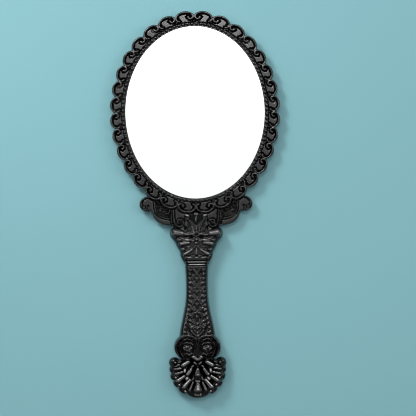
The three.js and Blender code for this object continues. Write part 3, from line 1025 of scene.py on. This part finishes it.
def back_heights(sheet):
    """The underside: flat on the table, rounded up to the parting line, with incised lines."""
    t = np.clip(-sheet.outer / BACK_ROUND, 0, 1)
    z = BACK_EDGE * (1 - np.sqrt(1 - (1 - t) ** 2))

    def line(distance, half, depth):
        return depth * (1 - ramp(np.abs(distance), half * 0.4, half))

    # two ovals round the head, and one inside them
    X, Y = sheet.X, sheet.V - HEAD_V
    cut = np.maximum(line(sheet.out - 1.5, 0.8, 0.6), line(sheet.out + 2.0, 0.5, 0.4))
    oval = np.hypot(X / 30.0, Y / 40.0)
    cut = np.maximum(cut, line((oval - 1) * 34, 0.7, 0.5))
    # a rosette of eight petals round a ring
    for k in range(8):
        angle = math.radians(45 * k + 22.5)
        along = X * math.sin(angle) + Y * math.cos(angle)
        across = X * math.cos(angle) - Y * math.sin(angle)
        petal = np.hypot((along - 11.5) / 8.5, across / 3.6) - 1
        cut = np.maximum(cut, line(petal * 4.5, 0.7, 0.5))
    cut = np.maximum(cut, line(np.hypot(X, Y) - 2.6, 0.7, 0.5))
    # a line inside the handle's outline
    grip = np.where(sheet.head < 3, FAR, sheet.handle + 3.6)
    cut = np.maximum(cut, line(grip, 0.7, 0.5))
    return z + cut * ramp(t, 0.8, 1.0)


def pedestal(number):
    """The square block that a piece of foam tape stands on, 0.5 mm wider than it all round."""
    low, high = node_box(f"foam_tape_{number}")
    x0, x1, v0, v1 = low[0] - 0.5, high[0] + 0.5, low[1] - END_Y - 0.5, high[1] - END_Y + 0.5
    square = np.array([(x0, v0), (x1, v0), (x1, v1), (x0, v1)])
    return square, FLOOR_OF_BACK, low[2] - 0.05, []


def make_back_shell():
    """The back: its rounded underside, the glass's well with four pedestals, the hollow and the pegs."""
    sheet = Sheet(BACK_STEP)
    surface = Surface()
    heights = back_heights(sheet)
    outer = height_map(surface, sheet, heights, sheet.outer, lambda x, v: BACK_EDGE, up=False)[0]
    # the rings of a face that looks down run the other way
    rim = drop(surface, outer, PARTING_BACK)
    surface.wall(rim, outer)
    pedestals = [pedestal(number) for number in TAPES]
    bosses = []
    for x, v in GRIP_PINS:
        peg = raised(surface, circle(x, v, PEG_R), PARTING_BACK, PEG_END, [], True)
        bosses.append((circle(x, v, BOSS_R), FLOOR_OF_BACK, PARTING_BACK, [peg]))
    holes = [
        pocket(surface, seat_outline(), PARTING_BACK, FLOOR_OF_BACK, True, pedestals),
        pocket(surface, hollow_outline(), PARTING_BACK, FLOOR_OF_BACK, True, bosses),
    ]
    for x, v in rim_pins():
        holes.append(raised(surface, circle(x, v, PEG_R), PARTING_BACK, PEG_END, [], True))
    surface.gather()
    surface.cap([rim, *holes], True)
    return surface.build("back_shell_carved")


# ---------------- materials

NOISE_LOW = 0.3  # most of a noise lies between these
NOISE_HIGH = 0.7


def set_inputs(node, values):
    for name, value in values.items():
        node.inputs[name].default_value = value


class Nodes:
    """A material's node tree, with short ways to add and join nodes."""

    def __init__(self, name):
        self.material = bpy.data.materials.new(name)
        self.material.use_nodes = True
        self.tree = self.material.node_tree
        self.shader = self.tree.nodes["Principled BSDF"]
        self.place = self.add("ShaderNodeTexCoord").outputs["Object"]

    def add(self, kind):
        return self.tree.nodes.new(kind)

    def join(self, output, target):
        self.tree.links.new(output, target)

    def noise(self, scale, detail=3.0, roughness=0.5):
        node = self.add("ShaderNodeTexNoise")
        set_inputs(node, {"Scale": scale, "Detail": detail, "Roughness": roughness})
        self.join(self.place, node.inputs["Vector"])
        return node.outputs["Fac"]

    def spread(self, output, low, high):
        """A number from low to high, as the noise goes through the middle of its range."""
        node = self.add("ShaderNodeMapRange")
        set_inputs(node, {"From Min": NOISE_LOW, "From Max": NOISE_HIGH, "To Min": low, "To Max": high})
        self.join(output, node.inputs["Value"])
        return node.outputs["Result"]

    def colours(self, output, low, high):
        """A base colour from low to high, in the same way."""
        node = self.add("ShaderNodeValToRGB")
        node.color_ramp.elements[0].position = NOISE_LOW
        node.color_ramp.elements[0].color = (*low, 1)
        node.color_ramp.elements[1].position = NOISE_HIGH
        node.color_ramp.elements[1].color = (*high, 1)
        self.join(output, node.inputs["Fac"])
        self.join(node.outputs["Color"], self.shader.inputs["Base Color"])

    def bump(self, output, strength, distance):
        node = self.add("ShaderNodeBump")
        set_inputs(node, {"Strength": strength, "Distance": distance})
        self.join(output, node.inputs["Height"])
        self.join(node.outputs["Normal"], self.shader.inputs["Normal"])


def black_plastic():
    """Glossy moulded plastic: a faint orange peel, and a gloss that varies from place to place."""
    nodes = Nodes("black_plastic")
    nodes.colours(nodes.noise(220, 4), (0.0014, 0.0014, 0.0015), (0.0026, 0.0025, 0.0027))
    nodes.join(nodes.spread(nodes.noise(420, 5, 0.6), 0.12, 0.18), nodes.shader.inputs["Roughness"])
    nodes.bump(nodes.noise(1800, 2), 0.12, 0.00004)
    set_inputs(nodes.shader, {"Specular IOR Level": 0.5})
    return nodes.material


def silvered_glass():
    """A mirror under clear glass."""
    nodes = Nodes("silvered_glass")
    nodes.colours(nodes.noise(30, 2), (0.93, 0.945, 0.95), (0.95, 0.96, 0.965))
    nodes.join(nodes.spread(nodes.noise(900, 3), 0.008, 0.02), nodes.shader.inputs["Roughness"])
    set_inputs(nodes.shader, {"Metallic": 1.0, "Coat Weight": 0.6, "Coat Roughness": 0.005})
    return nodes.material


def white_foam():
    nodes = Nodes("white_foam")
    nodes.colours(nodes.noise(500, 4), (0.74, 0.74, 0.70), (0.86, 0.86, 0.83))
    nodes.join(nodes.spread(nodes.noise(900, 3), 0.85, 0.98), nodes.shader.inputs["Roughness"])
    nodes.bump(nodes.noise(1600, 4, 0.7), 0.6, 0.0002)
    return nodes.material


def pale_floor():
    nodes = Nodes("pale_floor")
    nodes.colours(nodes.noise(6, 2), (0.184, 0.374, 0.411), (0.19, 0.384, 0.421))
    nodes.join(nodes.spread(nodes.noise(60, 3), 0.82, 0.92), nodes.shader.inputs["Roughness"])
    set_inputs(nodes.shader, {"Specular IOR Level": 0.2})
    return nodes.material


def wear(piece, material):
    piece.data.materials.clear()
    piece.data.materials.append(material)


# ---------------- the studio


def make_floor():
    bpy.ops.mesh.primitive_plane_add(size=6, location=(0, 0, CAD_BOX[0][2] - 0.0001))
    floor = bpy.context.object
    floor.name = "floor"
    wear(floor, pale_floor())


def make_camera():
    """Straight above the mirror, turned a little so that its head leans to the left."""
    data = bpy.data.cameras.new("camera")
    data.sensor_width = 36
    data.lens = 36 * CAMERA_HEIGHT / VIEW_WIDTH
    data.clip_end = 20
    camera = bpy.data.objects.new("camera", data)
    bpy.context.collection.objects.link(camera)
    x, y = VIEW_MIDDLE[0] * MM, (VIEW_MIDDLE[1] + END_Y) * MM
    camera.location = (x, y, CAMERA_HEIGHT + VIEW_LEVEL * MM)
    camera.rotation_euler = (0, 0, math.radians(-LEAN))
    bpy.context.scene.camera = camera


def aimed_area(name, place, size, power):
    """A white area light, sizes in metres, that shines at the head."""
    data = bpy.data.lights.new(name, "AREA")
    data.shape = "RECTANGLE"
    data.size, data.size_y = size
    data.energy = power
    light = bpy.data.objects.new(name, data)
    light.location = place
    light.rotation_euler = (Vector(LIT_PLACE) - Vector(place)).to_track_quat("-Z", "Y").to_euler()
    bpy.context.collection.objects.link(light)


def make_world():
    """A soft white tent: brightest overhead and beyond the head, faint low down and at the sides."""
    world = bpy.data.worlds.new("tent")
    bpy.context.scene.world = world
    world.use_nodes = True
    tree = world.node_tree
    background = tree.nodes["Background"]
    where = tree.nodes.new("ShaderNodeTexCoord")
    split = tree.nodes.new("ShaderNodeSeparateXYZ")
    tree.links.new(where.outputs["Generated"], split.inputs[0])

    def level(output, stops):
        """A smooth step of one coordinate: between the first two stops it goes to the last two."""
        node = tree.nodes.new("ShaderNodeMapRange")
        node.interpolation_type = "SMOOTHSTEP"
        set_inputs(node, dict(zip(("From Min", "From Max", "To Min", "To Max"), stops)))
        tree.links.new(output, node.inputs["Value"])
        return node.outputs["Result"]

    def add(a, b):
        node = tree.nodes.new("ShaderNodeMath")
        node.operation = "ADD"
        tree.links.new(a, node.inputs[0])
        tree.links.new(b, node.inputs[1])
        return node.outputs[0]

    y, z = split.outputs["Y"], split.outputs["Z"]
    horizon = level(z, (0.2, 0.4, 0.25, 0.0))
    sides = level(z, (0.3, 0.62, 0.03, 0.12))
    beyond = level(y, (0.0, 0.45, 0.0, 0.55))
    low = add(add(horizon, sides), beyond)
    high = add(level(y, (-0.05, 0.005, 0.12, 1.05)), level(y, (0.03, 0.16, 0.0, 2.2)))
    overhead = level(z, (0.93, 0.985, 0.0, 1.0))
    mix = tree.nodes.new("ShaderNodeMix")
    for output, name in ((overhead, "Factor"), (low, "A"), (high, "B")):
        tree.links.new(output, mix.inputs[name])
    tree.links.new(mix.outputs["Result"], background.inputs["Strength"])
    set_inputs(background, {"Color": (1, 1, 1, 1)})


# ---------------- the scene


def build_scene():
    """The pieces and their materials, then the floor, the camera and the lights."""
    plastic = black_plastic()
    front = make_front_shell()
    wear(front, plastic)
    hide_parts("front_shell")
    back = make_back_shell()
    wear(back, plastic)
    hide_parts("back_shell")
    for piece in (front, back):
        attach(piece, "root")
    wear(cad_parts["mirror_glass"], silvered_glass())
    foam = white_foam()
    for number in TAPES:
        wear(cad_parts[f"foam_tape_{number}"], foam)

    make_floor()
    make_camera()
    make_world()
    aimed_area("key", (-0.25, 0.34, 0.45), (0.15, 0.15), 2.2)
    aimed_area("right", (0.46, 0.10, 0.62), (0.16, 0.4), 1.3)
    aimed_area("left", (-0.44, 0.0, 0.78), (0.16, 0.4), 0.8)
    aimed_area("softbox", (0.02, 0.38, 1.06), (0.45, 0.18), 1.4)
    aimed_area("spark", (0.02, 0.33, 1.03), (0.13, 0.09), 0.9)
    aimed_area("front", (0.12, -0.45, 0.75), (0.2, 0.08), 0.25)
    bpy.context.scene.view_settings.view_transform = "Standard"
    bpy.context.scene.cycles.filter_width = 1.0  # crisper than the usual 1.5


build_scene()
